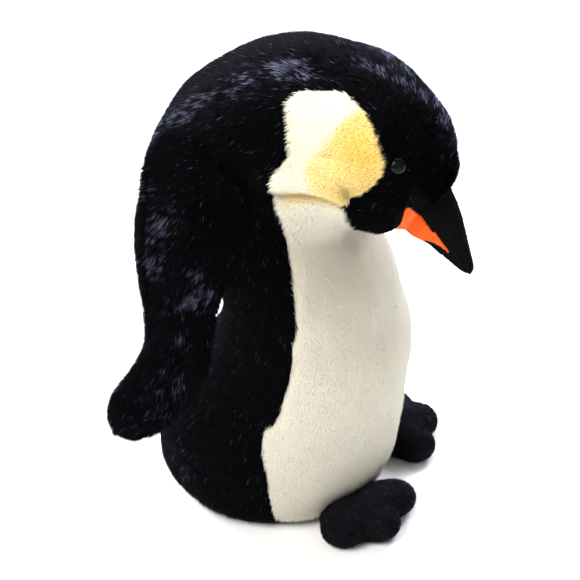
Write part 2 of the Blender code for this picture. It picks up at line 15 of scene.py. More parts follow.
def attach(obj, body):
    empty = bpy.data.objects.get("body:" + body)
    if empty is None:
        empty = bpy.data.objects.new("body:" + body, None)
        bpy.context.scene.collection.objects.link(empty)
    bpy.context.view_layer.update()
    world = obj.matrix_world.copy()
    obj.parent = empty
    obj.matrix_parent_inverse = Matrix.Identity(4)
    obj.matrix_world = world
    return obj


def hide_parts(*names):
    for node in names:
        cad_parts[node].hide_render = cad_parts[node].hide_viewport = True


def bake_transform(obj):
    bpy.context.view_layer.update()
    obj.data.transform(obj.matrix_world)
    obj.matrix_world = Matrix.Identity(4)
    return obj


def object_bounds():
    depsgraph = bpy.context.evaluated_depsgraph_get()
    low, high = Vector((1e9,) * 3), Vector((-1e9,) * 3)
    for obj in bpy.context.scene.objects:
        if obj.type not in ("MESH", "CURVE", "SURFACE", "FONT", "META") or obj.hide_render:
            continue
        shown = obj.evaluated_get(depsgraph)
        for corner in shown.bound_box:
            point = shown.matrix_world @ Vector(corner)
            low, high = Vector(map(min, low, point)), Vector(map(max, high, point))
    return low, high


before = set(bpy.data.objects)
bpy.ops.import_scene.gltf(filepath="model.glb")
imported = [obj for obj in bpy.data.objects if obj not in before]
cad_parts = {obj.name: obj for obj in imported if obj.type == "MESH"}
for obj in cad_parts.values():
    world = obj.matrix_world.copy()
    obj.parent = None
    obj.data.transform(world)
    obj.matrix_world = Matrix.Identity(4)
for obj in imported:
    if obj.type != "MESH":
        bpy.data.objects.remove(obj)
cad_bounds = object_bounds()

RNG_SEED = 41

# ---------------------------------------------------------------- design dimensions
# Sections of the body and head: back line (y, z), front line (y, z), half width.
SECTIONS = np.array((
    (0.084, 0.0048, -0.076, 0.0048, 0.087),
    (0.094, 0.012, -0.085, 0.012, 0.096),
    (0.103, 0.032, -0.092, 0.030, 0.102),
    (0.100, 0.064, -0.097, 0.060, 0.103),
    (0.080, 0.102, -0.100, 0.098, 0.100),
    (0.051, 0.145, -0.101, 0.134, 0.096),
    (0.046, 0.190, -0.096, 0.166, 0.093),
    (0.066, 0.240, -0.085, 0.198, 0.092),
    (0.090, 0.290, -0.070, 0.221, 0.090),
    (0.080, 0.337, -0.058, 0.235, 0.084),
    (0.045, 0.370, -0.057, 0.242, 0.078),
    (0.004, 0.387, -0.062, 0.246, 0.072),
    (-0.042, 0.389, -0.070, 0.246, 0.067),
    (-0.081, 0.378, -0.078, 0.244, 0.062),
    (-0.109, 0.355, -0.085, 0.243, 0.055),
    (-0.129, 0.327, -0.090, 0.244, 0.046),
    (-0.135, 0.301, -0.095, 0.248, 0.033),
    (-0.135, 0.286, -0.098, 0.253, 0.020),
))
# Edge of the pale belly: section, degrees from the front line.
BELLY_EDGE = ((0.0, 74), (2.0, 77), (3.0, 81), (3.6, 87), (4.05, 90), (4.25, 86), (5.0, 88.5),
              (6.0, 85), (6.5, 78), (7.0, 73), (8.0, 62), (9.0, 61), (9.5, 67), (10.0, 82),
              (10.3, 91), (10.7, 95), (11.0, 99))
# Outline of the cheek patch: section, degrees.
CHEEK_OUTLINE = ((10.98, 90), (11.06, 101), (11.18, 114), (11.28, 130), (11.45, 136),
                 (11.9, 139), (12.4, 141), (12.62, 137), (12.85, 133), (13.05, 128), (13.2, 124),
                 (13.35, 118), (13.55, 113), (13.7, 108), (13.7, 100), (13.5, 93), (13.25, 85),
                 (12.9, 78), (12.5, 74), (12.2, 72), (12.1, 67), (11.8, 68), (11.2, 76))
BEAK_SECTIONS = np.array((
    (-0.1298, 0.2862, -0.0960, 0.2540, 0.0190),
    (-0.1402, 0.2645, -0.1060, 0.2425, 0.0165),
    (-0.1460, 0.2460, -0.1165, 0.2330, 0.0135),
    (-0.1505, 0.2285, -0.1290, 0.2215, 0.0100),
    (-0.1540, 0.2165, -0.1400, 0.2125, 0.0070),
    (-0.1540, 0.2090, -0.1470, 0.2075, 0.0040),
))
# Flipper sections: out, down, direction the blade runs in (degrees), half width, half thickness.
FLIPPER_ORIGIN = np.array((0.1000, 0.050, 0.266))
FLIPPER_OUT = np.array((0.42, 0.9075, 0.0))
FLIPPER_LEAN = 0.10
FLIPPER_SECTIONS = np.array((
    (0.000, -0.070, 0, 0.004, 0.003),
    (-0.001, -0.066, 0, 0.015, 0.005),
    (-0.002, -0.058, 0, 0.026, 0.008),
    (-0.005, -0.046, 0, 0.0355, 0.012),
    (-0.007, -0.033, 0, 0.041, 0.015),
    (-0.0065, -0.012, 0, 0.0435, 0.0165),
    (-0.003, 0.015, 0, 0.0405, 0.015),
    (0.0015, 0.040, 0, 0.0350, 0.013),
    (0.0055, 0.065, 0, 0.0300, 0.012),
    (0.0075, 0.088, 8, 0.0278, 0.011),
    (0.013, 0.107, 22, 0.0285, 0.011),
    (0.027, 0.129, 38, 0.0285, 0.010),
    (0.0445, 0.146, 45, 0.0265, 0.009),
    (0.0565, 0.1565, 48, 0.0175, 0.007),
    (0.0615, 0.1610, 48, 0.007, 0.004),
))
SHOULDER_DOWN = -0.036     # above this the blade leans in to lie on the shoulder
SHOULDER_LEAN = 1.05
FOOT_CENTRE = (0.057, -0.072)
FOOT_TURN = math.radians(32)
FOOT_TOES = ((-60, 0.0375), (4, 0.0340), (56, 0.0360))     # each toe's turn and reach
FOOT_SHARPNESS = 330.0     # how crisply the toes meet

PILE = 0.0080              # length of the body's navy pile
SKIN_INSET = 0.0010        # how far inside the loft the backing cloth lies
ROOT_DEPTH = 0.0006        # how far a strand starts under the cloth's surface
FLOOR_GAP = 0.0005         # the lowest that a strand's tip goes
FLOOR_HEIGHT = -0.0002

# Rows and columns of each skin, and the first seed of each group of pieces.
BODY_GRID, BEAK_GRID, FLIPPER_GRID, FOOT_GRID = (256, 160), (120, 72), (190, 96), (90, 150)
BEAK_SEED, FLIPPER_SEED, FOOT_SEED, SEED_STEP = 40, 60, 80, 10

# What covers a place on the body's skin.
ON_NAVY, ON_BELLY, ON_CHEEK, ON_MANDIBLE = range(4)


# ---------------------------------------------------------------- small numeric tools
def catmull(table, place):
    """Rows of a table at fractional places, on a Catmull-Rom curve."""
    last = len(table) - 1
    place = np.clip(np.asarray(place, float), 0, last)
    index = np.minimum(place.astype(int), last - 1)
    t = (place - index)[..., None]
    padded = np.vstack((2 * table[0] - table[1], table, 2 * table[-1] - table[-2]))
    before, here = padded[index], padded[index + 1]
    there, after = padded[index + 2], padded[index + 3]
    return 0.5 * (2 * here + (there - before) * t
                  + (2 * before - 5 * here + 4 * there - after) * t ** 2
                  + (3 * here - before - 3 * there + after) * t ** 3)


def loft_points(table, place, angle):
    """Points of a loft through sections, at fractional places and angles from the front."""
    row = catmull(table, place)
    zero = np.zeros(row.shape[:-1])
    back = np.stack((zero, row[..., 0], row[..., 1]), -1)
    front = np.stack((zero, row[..., 2], row[..., 3]), -1)
    middle, half = (front + back) / 2, (back - front) / 2
    point = middle - half * np.cos(angle)[..., None]
    point[..., 0] += row[..., 4] * np.sin(angle)
    return point


def unit(v):
    return v / np.maximum(np.linalg.norm(v, axis=-1, keepdims=True), 1e-12)


def bell(x, middle, width):
    return np.exp(-((x - middle) / width) ** 2)


def grid(rows, columns):
    """Even angles, then the row and the angle of every point of a skin."""
    angles = np.arange(columns) * 2 * math.pi / columns
    return angles, *np.meshgrid(rows, angles, indexing="ij")


LATTICE_SIZE = 32
LATTICE = np.random.default_rng(RNG_SEED).random((LATTICE_SIZE,) * 3)


def noise(points, size, shift=0.0):
    """Smooth value noise from 0 to 1, with features of about the given size."""
    q = np.asarray(points) / size + shift
    cell = np.floor(q).astype(int)
    f = q - cell
    f = f * f * (3 - 2 * f)
    total = 0.0
    for corner in np.ndindex(2, 2, 2):
        wx, wy, wz = (f[..., i] if corner[i] else 1 - f[..., i] for i in range(3))
        x, y, z = ((cell[..., i] + corner[i]) % LATTICE_SIZE for i in range(3))
        total = total + wx * wy * wz * LATTICE[x, y, z]
    return total


def smoothstep(low, high, x):
    t = np.clip((x - low) / (high - low), 0, 1)
    return t * t * (3 - 2 * t)


def inside_outline(outline, x, y):
    """True where (x, y) is inside a closed outline."""
    result = np.zeros(np.shape(x), bool)
    points = list(outline)
    for (x0, y0), (x1, y1) in zip(points, points[1:] + points[:1]):
        crosses = (y0 > y) != (y1 > y)
        with np.errstate(divide="ignore", invalid="ignore"):
            at = (x1 - x0) * (y - y0) / (y1 - y0 + 1e-12) + x0
        result ^= crosses & (x < at)
    return result


def placed(name, data):
    """A new object in the scene."""
    made = bpy.data.objects.new(name, data)
    bpy.context.scene.collection.objects.link(made)
    return made


# ---------------------------------------------------------------- skins
class Skin:
    """A grid of points over a closed form. Rows run along it, columns go round it."""

    def __init__(self, points, rows, angles):
        self.points, self.rows, self.angles = points, rows, angles
        self.measure()

    def measure(self):
        """Directions along the rows and round the columns, and the outward normal."""
        p = self.points
        self.along = unit(np.gradient(p, axis=0))
        self.round = unit(np.roll(p, -1, 1) - np.roll(p, 1, 1))
        n = unit(np.cross(self.round, self.along))
        centre = p.mean(axis=(0, 1))
        if ((p - centre) * n).sum(-1).mean() < 0:
            n = -n
        self.normal = n

    def place(self, r, c):
        """Row and angle at fractional grid places."""
        return (np.interp(r, np.arange(len(self.rows)), self.rows),
                self.angles[0] + c * (self.angles[1] - self.angles[0]))

    def sample(self, values, r, c):
        """Values of the grid between its points."""
        columns = self.points.shape[1]
        r0 = np.clip(r.astype(int), 0, self.points.shape[0] - 2)
        c0 = c.astype(int) % columns
        c1 = (c0 + 1) % columns
        fr, fc = r - r0, c - np.floor(c)
        if values.ndim == 3:
            fr, fc = fr[:, None], fc[:, None]
        return ((values[r0, c0] * (1 - fc) + values[r0, c1] * fc) * (1 - fr)
                + (values[r0 + 1, c0] * (1 - fc) + values[r0 + 1, c1] * fc) * fr)

    def cell_values(self):
        """Middle row, middle angle, middle point and area of every cell."""
        p = self.points
        nxt = np.roll(p, -1, 1)
        a, b, c, d = p[:-1], nxt[:-1], nxt[1:], p[1:]
        middle = (a + b + c + d) / 4
        area = (np.linalg.norm(np.cross(b - a, c - a), axis=-1)
                + np.linalg.norm(np.cross(c - a, d - a), axis=-1)) / 2
        step = self.angles[1] - self.angles[0]
        row = np.repeat(((self.rows[:-1] + self.rows[1:]) / 2)[:, None], p.shape[1], 1)
        angle = np.repeat((self.angles + step / 2)[None], len(self.rows) - 1, 0)
        return row, angle, middle, area


def shell_arrays(skin, cells, thickness):
    """A closed thin shell over the chosen cells: vertices, quads, and the grid place of each."""
    columns = skin.points.shape[1]
    r, c = np.nonzero(cells)
    c1 = (c + 1) % columns
    quads = np.stack((r * columns + c, r * columns + c1, (r + 1) * columns + c1,
                      (r + 1) * columns + c), -1)
    used, flat = np.unique(quads, return_inverse=True)
    quads = flat.reshape(-1, 4)
    place = np.stack((used // columns, used % columns), -1).astype(float)
    top = skin.points.reshape(-1, 3)[used]
    normal = skin.normal.reshape(-1, 3)[used]
    a, b, d = top[quads[:, 0]], top[quads[:, 1]], top[quads[:, 3]]
    facing = (np.cross(b - a, d - a) * normal[quads[:, 0]]).sum(-1).sum()
    if facing < 0:
        quads = quads[:, ::-1]
    bottom = top - normal * thickness
    count = len(top)
    edges = np.concatenate([np.stack((quads[:, i], quads[:, (i + 1) % 4]), -1) for i in range(4)])
    key = np.minimum(edges[:, 0], edges[:, 1]) * count + np.maximum(edges[:, 0], edges[:, 1])
    _, first, seen = np.unique(key, return_index=True, return_counts=True)
    rim = edges[first[seen == 1]]
    walls = np.stack((rim[:, 1], rim[:, 0], rim[:, 0] + count, rim[:, 1] + count), -1)
    faces = np.concatenate((quads, quads[:, ::-1] + count, walls))
    return np.concatenate((top, bottom)), faces, np.concatenate((place, place))


def widened(cells):
    """The chosen cells and the ones next to them."""
    grown = cells | np.roll(cells, 1, 1) | np.roll(cells, -1, 1)
    grown[1:] |= cells[:-1]
    grown[:-1] |= cells[1:]
    return grown


TUFT_HASH = (73856093, 19349663, 83492791)     # large primes, to number the tufts


def strand_arrays(skin, cells, style, rng, zone=None, belongs=None):
    """Tapered strands of pile, rooted at random over the chosen cells.

    Where belongs is given, cells are widened inside their zone, and each root is then kept or
    dropped by its own row and angle, so a colour's edge doesn't follow the grid.
    """
    _, _, _, area = skin.cell_values()
    if belongs is not None:
        cells = widened(cells) & zone
    weight = (area * cells).ravel()
    total = weight.sum()
    count = int(total * style["density"] * (1.0))
    cumulative = np.cumsum(weight) / total
    picked = np.searchsorted(cumulative, rng.random(count))
    columns = skin.points.shape[1]
    r = picked // columns + rng.random(count)
    c = picked % columns + rng.random(count)
    if belongs is not None:
        row, angle = skin.place(r, c)
        keep = belongs(row + rng.normal(0, 0.02, count), angle)
        r, c, count = r[keep], c[keep], int(keep.sum())
    root = skin.sample(skin.points, r, c)
    normal = unit(skin.sample(skin.normal, r, c))
    along = skin.sample(skin.along, r, c)
    around = skin.sample(skin.round, r, c)
    row, angle = skin.place(r, c)
    nap = style["nap"](row, angle, root, along, around)
    swirl = style.get("swirl", 0.35)
    for axis, shift in ((along, 3.1), (around, 7.7)):
        nap = nap + axis * ((noise(root, 0.012, shift) - 0.5) * 2 * swirl)[:, None]
        nap = nap + axis * ((noise(root, 0.0035, shift + 5) - 0.5) * 1.6 * swirl)[:, None]
    nap = nap + rng.normal(0, 0.16, (count, 3))
    nap = unit(nap - normal * (nap * normal).sum(-1, keepdims=True))
    length = style["length"](row, angle, root) if callable(style["length"]) else style["length"]
    length = length * rng.uniform(0.72, 1.12, count) * (0.86 + 0.28 * noise(root, 0.006, 1.3))
    width = style["width"] * 1.0 * rng.uniform(0.8, 1.2, count)
    lift = style["lift"] * rng.uniform(0.75, 1.3, count)
    first = unit(normal * lift[:, None] + nap * (1 - 0.35 * lift)[:, None])
    base = root - normal * ROOT_DEPTH
    tip = base + first * length[:, None]
    # Neighbouring strands lean together into small tufts.
    size = style.get("tuft", 0.0030)
    wander = np.stack([noise(root, size * 1.7, s) for s in (2, 4, 6)], -1)
    cell = np.floor(root / size + 0.6 * wander).astype(np.int64) * TUFT_HASH
    key = cell[:, 0] ^ cell[:, 1] ^ cell[:, 2]
    _, group = np.unique(key, return_inverse=True)
    members = np.bincount(group)
    centre = np.stack([np.bincount(group, tip[:, i]) / members for i in range(3)], -1)
    pull = style.get("clump", 0.35) * rng.uniform(0.5, 1.2, count)[:, None]
    tip = tip + (centre[group] - tip) * np.clip(pull, 0, 0.8)
    tip[:, 2] = np.maximum(tip[:, 2], FLOOR_GAP)       # pressed flat where it meets the floor
    side = unit(np.cross(first, normal + rng.normal(0, 0.3, (count, 3))))
    other = unit(np.cross(first, side))
    turn = rng.uniform(0, 2 * math.pi, count)
    ring = []
    for k in range(3):
        a = turn + 2 * math.pi * k / 3
        spoke = side * np.cos(a)[:, None] + other * np.sin(a)[:, None]
        ring.append(base + spoke * (width * 0.5)[:, None])
    verts = np.stack(ring + [tip], 1).reshape(-1, 3)
    start = (np.arange(count) * 4)[:, None]
    tris = np.concatenate([start + np.array([k, (k + 1) % 3, 3]) for k in range(3)]
                          + [start + np.array([2, 1, 0])])
    height = np.tile(np.array([0, 0, 0, 1.0]), count)
    tuft_tone = rng.random(len(members))[group]
    tone = 0.60 * rng.random(count) + 0.40 * tuft_tone
    # Painted sheen: where light would catch the dark pile its strands get a paler tone, broken up
    # by noise, and a few strands at random become painted glints.
    if "painted_sheen" in style:
        painted_sheen_amount = style["painted_sheen"](row, angle, root)
        painted_sheen_amount = painted_sheen_amount * (0.25 + 0.75 * smoothstep(
            0.22, 0.72, noise(root * (1, 1, 1.6), 0.0058, 6.1)))
        tone = tone * (0.60 + 0.85 * np.clip(painted_sheen_amount, 0, 1))
        tone = np.where(rng.random(count) < 0.006, rng.uniform(0.75, 1.0, count), tone)
    tone = np.repeat(np.clip(tone, 0, 1), 4)
    jitter = np.tile(np.array([(0, 0), (.2, 0), (0, .2), (.1, .1)]), (count, 1))
    place = np.repeat(np.stack((r, c), -1), 4, 0) + jitter
    return verts, tris, height, tone, place


def furred(name, skin, cells, style, seed, thickness=0.0012, extra=None, zone=None,
           belongs=None):
    """One furred piece: a closed thin backing cloth and the strands that grow from it."""
    rng = np.random.default_rng(RNG_SEED + seed)
    verts, faces, place = shell_arrays(skin, cells, thickness)
    height, tone = np.full(len(verts), 0.45), np.full(len(verts), 0.5)
    sv, tris, sh, st, sp = strand_arrays(skin, cells, style, rng, zone, belongs)
    tris = tris + len(verts)
    verts, place = np.concatenate((verts, sv)), np.concatenate((place, sp))
    height, tone = np.concatenate((height, sh)), np.concatenate((tone, st))
    loops = np.concatenate((faces.ravel(), tris.ravel())).astype(np.int32)
    starts = np.concatenate((np.arange(len(faces)) * 4,
                             len(faces) * 4 + np.arange(len(tris)) * 3)).astype(np.int32)
    mesh = bpy.data.meshes.new(name)
    mesh.vertices.add(len(verts))
    mesh.vertices.foreach_set("co", verts.astype(np.float32).ravel())
    mesh.loops.add(len(loops))
    mesh.loops.foreach_set("vertex_index", loops)
    mesh.polygons.add(len(starts))
    mesh.polygons.foreach_set("loop_start", starts)
    mesh.update(calc_edges=True)
    mesh.shade_smooth()
    for label, values in (("pile_height", height), ("pile_tone", tone)):
        mesh.attributes.new(label, 'FLOAT', 'POINT').data.foreach_set(
            "value", values.astype(np.float32))
    if extra:
        mesh.attributes.new("pile_yellow_and_shadow", 'FLOAT', 'POINT').data.foreach_set(
            "value", extra(*skin.place(*place.T)).astype(np.float32))
    layer = mesh.uv_layers.new(name="OFBake")
    shape = np.array(skin.points.shape[:2], float)
    uv = np.clip((place[:, ::-1] + 0.5) / (shape[::-1] + 2), 0, 1)
    layer.uv.foreach_set("vector", uv[loops].astype(np.float32).ravel())
    made = placed(name, mesh)
    mesh.materials.append(style["material"])
    return made


def closed_piece(name, verts, faces, material):
    """A closed smooth mesh, its faces turned outward."""
    mesh = bpy.data.meshes.new(name)
    mesh.from_pydata([tuple(v) for v in verts], [], [tuple(f) for f in faces])
    work = bmesh.new()
    work.from_mesh(mesh)
    bmesh.ops.recalc_face_normals(work, faces=work.faces)
    work.to_mesh(mesh)
    work.free()
    mesh.shade_smooth()
    made = placed(name, mesh)
    mesh.materials.append(material)
    return made


def grid_faces(rows, columns):
    """Quads over a tube of points, with a cap at each end."""
    index = np.arange(rows * columns).reshape(rows, columns)
    beside = np.roll(index, -1, 1)
    quads = np.stack((index[:-1], beside[:-1], beside[1:], index[1:]), -1).reshape(-1, 4)
    return quads.tolist() + [index[0][::-1].tolist(), index[-1].tolist()]


def filling(name, skin, inset, node, first=2):
    """The fibre inside a skin: the same form, a little under the backing cloth."""
    points = (skin.points - skin.normal * inset)[first:-4:2, ::2]
    made = closed_piece(name, points.reshape(-1, 3), grid_faces(*points.shape[:2]), FIBRE)
    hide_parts(node)
    return made


# ---------------------------------------------------------------- materials
def tree_for(name):
    material = bpy.data.materials.new(name)
    material.use_nodes = True
    nodes, links = material.node_tree.nodes, material.node_tree.links
    return material, nodes, links, nodes["Principled BSDF"]


def ramp_node(nodes, stops):
    node = nodes.new("ShaderNodeValToRGB")
    elements = node.color_ramp.elements
    while len(elements) < len(stops):
        elements.new(0.5)
    for element, (at, colour) in zip(elements, stops):
        element.position = at
        element.color = (*colour, 1.0)
    return node


def noise_node(nodes, links, scale, detail):
    where = nodes.new("ShaderNodeTexCoord")
    node = nodes.new("ShaderNodeTexNoise")
    node.inputs["Scale"].default_value = scale
    node.inputs["Detail"].default_value = detail
    links.new(where.outputs["Object"], node.inputs["Vector"])
    return node


def math_node(nodes, links, operation, a, b):
    node = nodes.new("ShaderNodeMath")
    node.operation = operation
    for socket, value in zip(node.inputs, (a, b)):
        if isinstance(value, (int, float)):
            socket.default_value = value
        else:
            links.new(value, socket)
    return node.outputs[0]


def attribute(nodes, name):
    node = nodes.new("ShaderNodeAttribute")
    node.attribute_name = name
    return node.outputs["Fac"]


def add_bump(nodes, links, shader, height, strength, distance):
    bump = nodes.new("ShaderNodeBump")
    bump.inputs["Strength"].default_value = strength
    bump.inputs["Distance"].default_value = distance
    links.new(height, bump.inputs["Height"])
    links.new(bump.outputs["Normal"], shader.inputs["Normal"])


def roughness_from(nodes, links, shader, value, low, high, reach=(0.0, 1.0)):
    span = nodes.new("ShaderNodeMapRange")
    for socket, number in (("From Min", reach[0]), ("From Max", reach[1]),
                           ("To Min", low), ("To Max", high)):
        span.inputs[socket].default_value = number
    links.new(value, span.inputs["Value"])
    links.new(span.outputs["Result"], shader.inputs["Roughness"])


def pile_material(name, dark, mid, light, rough, specular, sheen, tint, yellow_and_shadow_ramp=None,
                  patch_scale=28.0, ior=1.5, painted_glint=None):
    """Cut pile: darker at the roots, its tone changing from strand to strand and patch to patch; a
    dark pile's palest tone is a painted glint.
    """
    material, nodes, links, shader = tree_for(name)
    patches = noise_node(nodes, links, patch_scale, 4.0)
    fine = noise_node(nodes, links, 420.0, 2.0)
    share, rise, spread = (0.85, 0.15, 0.0) if painted_glint else (0.45, 0.35, 0.30)
    tone = math_node(nodes, links, 'MULTIPLY', attribute(nodes, "pile_tone"), share)
    height = math_node(nodes, links, 'MULTIPLY', attribute(nodes, "pile_height"), rise)
    value = math_node(nodes, links, 'ADD', tone, height)
    if spread:
        value = math_node(nodes, links, 'ADD', value,
                          math_node(nodes, links, 'MULTIPLY', patches.outputs["Fac"], spread))
    # On a dark pile the last, palest stop is a painted glint: strands coloured as if catching the
    # light.
    ramp = ramp_node(nodes, ((0.20, dark), (0.60, mid), (0.74, light), (0.92, painted_glint)) if painted_glint
                     else ((0.12, dark), (0.50, mid), (0.80, light)))
    links.new(value, ramp.inputs["Fac"])
    colour = ramp.outputs["Color"]
    # The warm ramp gives the cheek's own yellow and also the painted golden shadow under the neck
    # roll.
    if yellow_and_shadow_ramp:
        warm = ramp_node(nodes, yellow_and_shadow_ramp)
        wobble = math_node(nodes, links, 'SUBTRACT', patches.outputs["Fac"], 0.5)
        wobble = math_node(nodes, links, 'MULTIPLY', wobble, 0.30)
        speck = math_node(nodes, links, 'SUBTRACT', attribute(nodes, "pile_tone"), 0.5)
        speck = math_node(nodes, links, 'MULTIPLY', speck, 0.16)
        yellow_and_painted_shadow = math_node(nodes, links, 'ADD', attribute(nodes, "pile_yellow_and_shadow"), wobble)
        yellow_and_painted_shadow = math_node(nodes, links, 'ADD', yellow_and_painted_shadow, speck)
        links.new(yellow_and_painted_shadow, warm.inputs["Fac"])
        mix = nodes.new("ShaderNodeMix")
        mix.data_type = 'RGBA'
        mix.blend_type = 'MULTIPLY'
        mix.inputs["Factor"].default_value = 1.0
        links.new(colour, mix.inputs["A"])
        links.new(warm.outputs["Color"], mix.inputs["B"])
        colour = mix.outputs["Result"]
    links.new(colour, shader.inputs["Base Color"])
    if painted_glint:
        roughness_from(nodes, links, shader, attribute(nodes, "pile_tone"), *rough, (0.60, 0.92))
    else:
        roughness_from(nodes, links, shader, patches.outputs["Fac"], *rough)
    add_bump(nodes, links, shader, fine.outputs["Fac"], 0.25, 0.0004)
    for socket, number in (("IOR", ior), ("Specular IOR Level", specular),
                           ("Sheen Weight", sheen), ("Sheen Roughness", 0.35),
                           ("Sheen Tint", (*tint, 1.0))):
        shader.inputs[socket].default_value = number
    return material


def plain_material(name, dark, light, scale, rough, specular=0.5, bump=0.2, distance=0.0003,
                   sheen=0.0):
    """Cloth or plastic: two tones mottled together, with a fine relief."""
    material, nodes, links, shader = tree_for(name)
    mottle = noise_node(nodes, links, scale, 5.0)
    fine = noise_node(nodes, links, scale * 9, 3.0)
    ramp = ramp_node(nodes, ((0.30, dark), (0.70, light)))
    links.new(mottle.outputs["Fac"], ramp.inputs["Fac"])
    links.new(ramp.outputs["Color"], shader.inputs["Base Color"])
    roughness_from(nodes, links, shader, mottle.outputs["Fac"], *rough)
    add_bump(nodes, links, shader, fine.outputs["Fac"], bump, distance)
    shader.inputs["Specular IOR Level"].default_value = specular
    shader.inputs["Sheen Weight"].default_value = sheen
    return material


# The violet-grey last colour of each dark pile (navy, velvet, velour) is a painted glint.
NAVY = pile_material("navy pile", (0.0008, 0.0008, 0.0012), (0.0022, 0.0022, 0.0036),
                     (0.0060, 0.0062, 0.0120), (0.80, 0.26), 0.5, 0.0, (0.55, 0.60, 0.85),
                     ior=1.13, painted_glint=(0.135, 0.132, 0.205))
VELVET = pile_material("short navy velvet", (0.0015, 0.0015, 0.0022), (0.0036, 0.0037, 0.0060),
                       (0.0080, 0.0085, 0.0150), (0.80, 0.32), 0.5, 0.0, (0.55, 0.58, 0.80),
                       ior=1.18, painted_glint=(0.055, 0.055, 0.082))
# The pale pile's warm ramp below colours the cheek's yellow and the painted shadow under the neck
# roll.
IVORY = pile_material("ivory pile", (0.93, 0.855, 0.70), (0.94, 0.878, 0.735),
                      (0.955, 0.910, 0.782), (0.70, 0.90), 0.12, 0.15, (1.0, 0.97, 0.90),
                      yellow_and_shadow_ramp=((0.0, (1.0, 1.0, 1.0)), (0.20, (1.0, 0.96, 0.84)),
                               (0.48, (1.0, 0.86, 0.45)), (0.85, (1.0, 0.77, 0.25))))
VELOUR = pile_material("black velour", (0.0012, 0.0012, 0.0015), (0.0026, 0.0026, 0.0034),
                       (0.0050, 0.0052, 0.0075), (0.85, 0.40), 0.5, 0.0, (0.60, 0.62, 0.75),
                       ior=1.14, painted_glint=(0.030, 0.030, 0.040))
FELT = pile_material("orange felt", (0.66, 0.070, 0.007), (0.80, 0.100, 0.011),
                     (0.88, 0.145, 0.020), (0.75, 0.92), 0.12, 0.10, (1.0, 0.75, 0.55),
                     patch_scale=160.0)
EYE = plain_material("polished black plastic", (0.0018, 0.0018, 0.0022), (0.0032, 0.0032, 0.0040),
                     90, (0.09, 0.14), 0.10, 0.02)
WASHER = plain_material("washer plastic", (0.66, 0.66, 0.63), (0.76, 0.76, 0.73), 60,
                        (0.35, 0.5), 0.5, 0.1)
FIBRE = plain_material("fibre filling", (0.70, 0.70, 0.68), (0.88, 0.88, 0.86), 140,
                       (0.85, 1.0), 0.2, 0.9, 0.002, 0.3)
PELLET_CLOTH = plain_material("pellet bag cloth", (0.55, 0.56, 0.59), (0.74, 0.75, 0.78), 220,
                              (0.6, 0.8), 0.3, 0.6, 0.001)
BASE_CLOTH = plain_material("base cloth", (0.006, 0.006, 0.010), (0.016, 0.017, 0.026), 500,
                            (0.75, 0.95), 0.2, 0.8, 0.0006, 0.2)


def along_nap(row, angle, root, along, around):
    return along


FELT_STYLE = dict(density=2400000, width=0.00040, length=0.0013, nap=along_nap,
                  material=FELT, clump=0.1, tuft=0.002, swirl=0.9, lift=0.6)


# ---------------------------------------------------------------- camera, floor and lights
CAMERA_AZIMUTH, CAMERA_ELEVATION = math.radians(-75), math.radians(30)
CAMERA_DISTANCE, FIELD_WIDTH, SENSOR = 1.6, 0.464, 36.0
AIM_RIGHT, AIM_UP = 0.0048, 0.148      # where the view is centred, across the line of sight
STUDIO_CENTRE = Vector((0.0, -0.02, 0.20))


def make_camera():
    """The camera. Returns the ways toward it and to its right."""
    a, e = CAMERA_AZIMUTH, CAMERA_ELEVATION
    back = Vector((math.sin(a) * math.cos(e), -math.cos(a) * math.cos(e), math.sin(e)))
    right = Vector((math.cos(a), math.sin(a), 0.0))
    up = back.cross(right)
    low, high = Vector(cad_bounds[0]), Vector(cad_bounds[1])
    centre = Vector((0.0, -0.02, (low.z + high.z) / 2))
    target = right * AIM_RIGHT + up * AIM_UP
    target += back * (centre - target).dot(back)
    data = bpy.data.cameras.new("camera")
    data.sensor_width = SENSOR
    data.lens = SENSOR * CAMERA_DISTANCE / FIELD_WIDTH
    data.dof.use_dof = False
    made = placed("camera", data)
    turn = Matrix((right, up, back)).transposed().to_4x4()
    made.matrix_world = Matrix.Translation(target + back * CAMERA_DISTANCE) @ turn
    bpy.context.scene.camera = made
    return back, right


def soft_light(name, place, size, power, colour):
    """A rectangular light, turned to the middle of the studio."""
    data = bpy.data.lights.new(name, 'AREA')
    data.shape = 'RECTANGLE'
    data.size, data.size_y = size
    data.energy = power
    data.color = colour
    turn = (STUDIO_CENTRE - place).to_track_quat('-Z', 'Y').to_matrix().to_4x4()
    placed(name, data).matrix_world = Matrix.Translation(place) @ turn


def make_studio():
    back, right = make_camera()
    world = bpy.data.worlds.new("studio")
    world.use_nodes = True
    inputs = world.node_tree.nodes["Background"].inputs
    inputs["Color"].default_value = (1.0, 1.0, 1.0, 1.0)
    inputs["Strength"].default_value = 0.34
    bpy.context.scene.world = world
    bpy.context.scene.view_settings.view_transform = 'Standard'
    flat_back = Vector((back.x, back.y, 0)).normalized()

    def at(to_right, to_camera, height):
        return STUDIO_CENTRE + right * to_right + flat_back * to_camera + Vector((0, 0, height))

    soft_light("key", at(-0.85, 0.85, 1.05), (1.0, 1.0), 38.0, (1.0, 0.980, 0.94))
    soft_light("front fill", at(0.9, 1.1, 0.5), (1.2, 1.0), 1.8, (1.0, 0.97, 0.91))
    soft_light("rim left", at(-1.0, -0.65, 0.55), (0.35, 1.0), 45.0, (0.80, 0.87, 1.0))
    soft_light("rim right", at(0.75, -0.85, 0.75), (0.35, 0.9), 27.0, (0.82, 0.88, 1.0))
    soft_light("top", at(-0.1, -0.45, 1.15), (0.6, 0.5), 28.0, (0.86, 0.91, 1.0))


